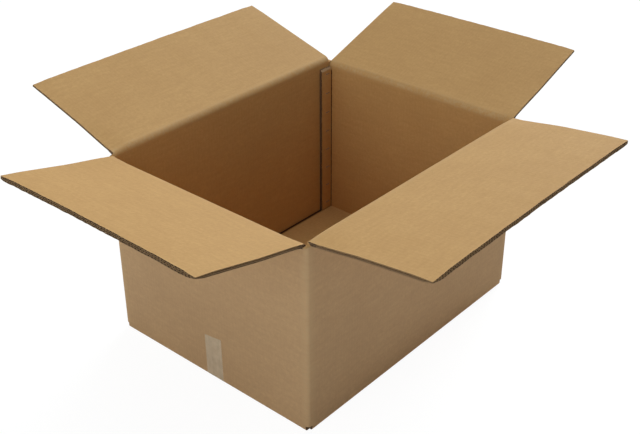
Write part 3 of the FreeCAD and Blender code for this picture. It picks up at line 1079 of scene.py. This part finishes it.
def wire_material():
    """Zinc-coated wire with fine drawn scratches."""
    wire = chosen("colours").wire
    tree, shader, place, _ = surface("stitch_wire", roughness=0.36, metallic=1.0)
    scratch = remap(tree, noise(tree, place, 900.0, 3.0), 0.3, 0.7)
    tree.links.new(tint(tree, scratch, full(wire, 0.7), full(wire)), shader.inputs["Base Color"])
    tree.links.new(calc(tree, "MULTIPLY_ADD", scratch, 0.2, 0.28), shader.inputs["Roughness"])
    raise_surface(tree, shader, scratch, 0.00005, 0.3)


def board_materials():
    """Inner liner, cut edge, waves and outer liner, built once and shared by all board."""
    names = ("kraft_liner", "cut_edge", "wave_paper", "outer_liner")
    if names[INNER] not in bpy.data.materials:
        colours = chosen("colours")
        paper = paper_group()
        cut_material(cut_group())
        for name, shade, dark, lines, bump in (
                (names[INNER], full(colours.paper), full(colours.paper_shade), 1.0, 0.0003),
                # The waves' material is darkened as painted shade of the hollows between the liners
                (names[WAVES_AND_SHADE], full(colours.wave), full(colours.wave, 0.75), 0.0, 0.0002),
                (names[OUTER], full(colours.outer), full(colours.outer_shade), 1.0, 0.0003)):
            paper_material(name, paper, shade, dark, lines, bump)
    return [bpy.data.materials[name] for name in names]


# Operators, one for each group of like pieces

class BuildWalls(bpy.types.Operator):
    """Walls, joint tab and bottom flaps: the part of the sheet that does not move"""
    bl_idname = "carton.build_walls"
    bl_label = "Walls and bottom"

    def execute(self, context):
        sizes = chosen("sizes")
        board = board_thickness()
        materials = board_materials()
        walls = make_piece("box_walls", [box_wall_sheet(), tab_sheet()], materials)
        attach(walls, "box")
        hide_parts("box_body")
        bottom = make_piece("box_heels_and_long_bottom_flaps",
                            [heel_sheet(side) for side in SIDES], materials)
        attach(bottom, "box")
        for side in ("left", "right"):
            outwards, sideways = SIDES[side]
            half, distance, _ = wall_facts(side)
            level = 1.5 * board + 0.0002

            def place(w, t, h):
                """Laid flat on the long bottom flaps, its free edge towards the middle."""
                return (w[..., None] * sideways + (distance - t)[..., None] * outwards
                        + (h + level)[..., None] * UP)
            reach = sizes.flap_reach - board / 2
            parts = layered_board(place, 2 * (half - sizes.floor_gap), 0.0, reach,
                                  flute_origins()[side])
            panel = make_piece(side + "_bottom_flap", parts, materials)
            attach(panel, "box")
        return {"FINISHED"}


class BuildFlaps(bpy.types.Operator):
    """Four top flaps with open flutes, and the scored strips that they fold about"""
    bl_idname = "carton.build_flaps"
    bl_label = "Top flaps and folds"

    def execute(self, context):
        sizes = chosen("sizes")
        board = board_thickness()
        forms = chosen("flaps")
        materials = board_materials()
        for side, (outwards, _) in SIDES.items():
            half, distance, axis = wall_facts(side)
            parts = layered_board(flap_place(side), 2 * (half - sizes.flap_side_gap),
                                  STRIP_REACH, sizes.flap_reach, flute_origins()[side])
            flap = make_piece(side + "_flap_board", parts, materials)
            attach(flap, side)
            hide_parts(side + "_flap")
            strip = make_piece(side + "_fold_strip", [fold_strip(side)], materials, 50.0)
            rise = getattr(forms, side + "_rise")
            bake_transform(strip)
        return {"FINISHED"}


class BuildTape(bpy.types.Operator):
    """Clear tape along the bottom seam and up both short walls"""
    bl_idname = "carton.build_tape"
    bl_label = "Bottom tape"

    def execute(self, context):
        tape_material()
        tape = make_piece("seam_tape", [tape_sheet()], [bpy.data.materials["clear_tape"]])
        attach(tape, "box")
        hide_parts("bottom_tape")
        return {"FINISHED"}


class BuildStitches(bpy.types.Operator):
    """Wire stitches that hold the joint tab to the back wall"""
    bl_idname = "carton.build_stitches"
    bl_label = "Wire stitches"

    def execute(self, context):
        fittings = chosen("fittings")
        leans = 0.10 * wander(np.arange(fittings.stitch_count) * 2.1, 0.4)
        wires = [stitch_wire(fittings.lowest_stitch + number * fittings.stitch_pitch, lean)
                 for number, lean in enumerate(leans)]
        wire_material()
        stitches = make_piece("tab_stitches", wires, [bpy.data.materials["stitch_wire"]], 50.0)
        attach(stitches, "box")
        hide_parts("joint_stitches")
        return {"FINISHED"}


class BuildStage(bpy.types.Operator):
    """Pale floor, plain soft light and the camera"""
    bl_idname = "carton.build_stage"
    bl_label = "Stage, light and camera"

    def execute(self, context):
        look = chosen("stage")
        reach = 9.0
        corners = np.array([(-reach, -reach, -0.0003), (reach, -reach, -0.0003),
                            (reach, reach, -0.0003), (-reach, reach, -0.0003)])
        mesh = bpy.data.meshes.new("floor")
        mesh.from_pydata(corners.tolist(), [], [(0, 1, 2, 3)])
        floor = bpy.data.objects.new("floor", mesh)
        context.scene.collection.objects.link(floor)
        mesh.materials.append(self.floor_material(look))
        self.light_world(context, look)
        for name, towards, soft in LAMPS:
            self.add_sun(context, name, getattr(look, name), towards, soft)
        self.add_camera(context, look)
        context.scene.view_settings.view_transform = "Standard"
        return {"FINISHED"}

    def add_sun(self, context, name, strength, towards, soft):
        """Distant soft lamp that shines from the given direction."""
        sun = bpy.data.lights.new(name, "SUN")
        sun.energy = strength
        sun.angle = math.radians(soft)
        sun.color = LAMP_COLOUR
        holder = bpy.data.objects.new(name, sun)
        holder.rotation_euler = Vector(towards).to_track_quat("Z", "Y").to_euler()
        context.scene.collection.objects.link(holder)

    def show_or_light(self, tree, lighting, shown, output):
        """Output with one shader for the light that bounces and one for what is seen."""
        path = tree.nodes.new("ShaderNodeLightPath").outputs
        mirrored = calc(tree, "MAXIMUM", path["Is Glossy Ray"], path["Is Transmission Ray"])
        seen = calc(tree, "MAXIMUM", path["Is Camera Ray"], mirrored)
        mixed = add_node(tree, "ShaderNodeMixShader", {0: seen, 1: lighting.outputs[0],
                                                       2: shown.outputs[0]})
        add_node(tree, output, {0: mixed.outputs[0]})

    def floor_material(self, look):
        """White paper for the camera with some of its shadow, and a duller one for bounces."""
        material = bpy.data.materials.new("floor_paper")
        material.use_nodes = True
        tree = material.node_tree
        tree.nodes.clear()
        bounce = look.floor_bounce
        dull = add_node(tree, "ShaderNodeBsdfDiffuse", {"Color": (bounce, bounce, bounce, 1.0)})
        white = add_node(tree, "ShaderNodeBsdfDiffuse", {"Color": (0.95, 0.95, 0.95, 1.0)})
        glow = add_node(tree, "ShaderNodeEmission", {"Color": (1.0, 1.0, 1.0, 1.0),
                                                     "Strength": look.floor_glow})
        shown = add_node(tree, "ShaderNodeMixShader", {0: look.shadow, 1: glow.outputs[0],
                                                       2: white.outputs[0]})
        self.show_or_light(tree, dull, shown, "ShaderNodeOutputMaterial")
        return material

    def light_world(self, context, look):
        """Even sky: white where it is seen, weaker where it lights."""
        world = bpy.data.worlds.new("studio")
        world.use_nodes = True
        tree = world.node_tree
        tree.nodes.clear()
        sky, white = (add_node(tree, "ShaderNodeBackground", {0: (1.0, 1.0, 1.0, 1.0), 1: strength})
                      for strength in (look.sky, 1.0))
        self.show_or_light(tree, sky, white, "ShaderNodeOutputWorld")
        context.scene.world = world

    def add_camera(self, context, look):
        """Camera from its place, its direction and its roll."""
        forward = Vector(look.look).normalized()
        right = forward.cross(Vector((0, 0, 1))).normalized()
        upward = right.cross(forward)
        turned_right = math.cos(look.roll) * right + math.sin(look.roll) * upward
        turned_up = -math.sin(look.roll) * right + math.cos(look.roll) * upward
        camera = bpy.data.cameras.new("camera")
        camera.lens = look.lens
        camera.sensor_width = 36.0
        camera.clip_start = 0.05
        camera.clip_end = 100.0
        holder = bpy.data.objects.new("camera", camera)
        turn = Matrix((turned_right, turned_up, -forward)).transposed().to_4x4()
        holder.matrix_world = Matrix.Translation(Vector(look.eye)) @ turn
        context.scene.collection.objects.link(holder)
        context.scene.camera = holder


class CartonPanel(bpy.types.Panel):
    """Carton tools in the 3D view's sidebar"""
    bl_idname = "VIEW3D_PT_carton"
    bl_label = "Open Cardboard Box"
    bl_space_type = "VIEW_3D"
    bl_region_type = "UI"
    bl_category = "Carton"

    def draw(self, context):
        layout = self.layout
        for operator in OPERATORS:
            layout.operator(operator.bl_idname)
        for name in GROUPS:
            box = layout.box()
            settings = getattr(context.scene, name)
            for key in settings.__annotations__:
                box.prop(settings, key)


GROUPS = {
    "carton_sizes": CartonSizes,
    "carton_board": BoardMakeup,
    "carton_flaps": FlapForms,
    "carton_fittings": FittingSizes,
    "carton_colours": CartonColours,
    "carton_stage": StageLook,
}
OPERATORS = (BuildWalls, BuildFlaps, BuildTape, BuildStitches, BuildStage)


def register():
    """Adds the classes and the carton's settings to Blender."""
    for group in GROUPS.values():
        bpy.utils.register_class(group)
    for operator in OPERATORS:
        bpy.utils.register_class(operator)
    bpy.utils.register_class(CartonPanel)
    for name, group in GROUPS.items():
        setattr(bpy.types.Scene, name, PointerProperty(type=group))


def unregister():
    """Takes the classes and the settings away again."""
    for name in GROUPS:
        delattr(bpy.types.Scene, name)
    bpy.utils.unregister_class(CartonPanel)
    for operator in reversed(OPERATORS):
        bpy.utils.unregister_class(operator)
    for group in reversed(list(GROUPS.values())):
        bpy.utils.unregister_class(group)


def main():
    """Builds every piece in order."""
    register()
    bpy.ops.carton.build_walls()
    bpy.ops.carton.build_flaps()
    bpy.ops.carton.build_tape()
    bpy.ops.carton.build_stitches()
    bpy.ops.carton.build_stage()


if __name__ == "__main__":
    main()
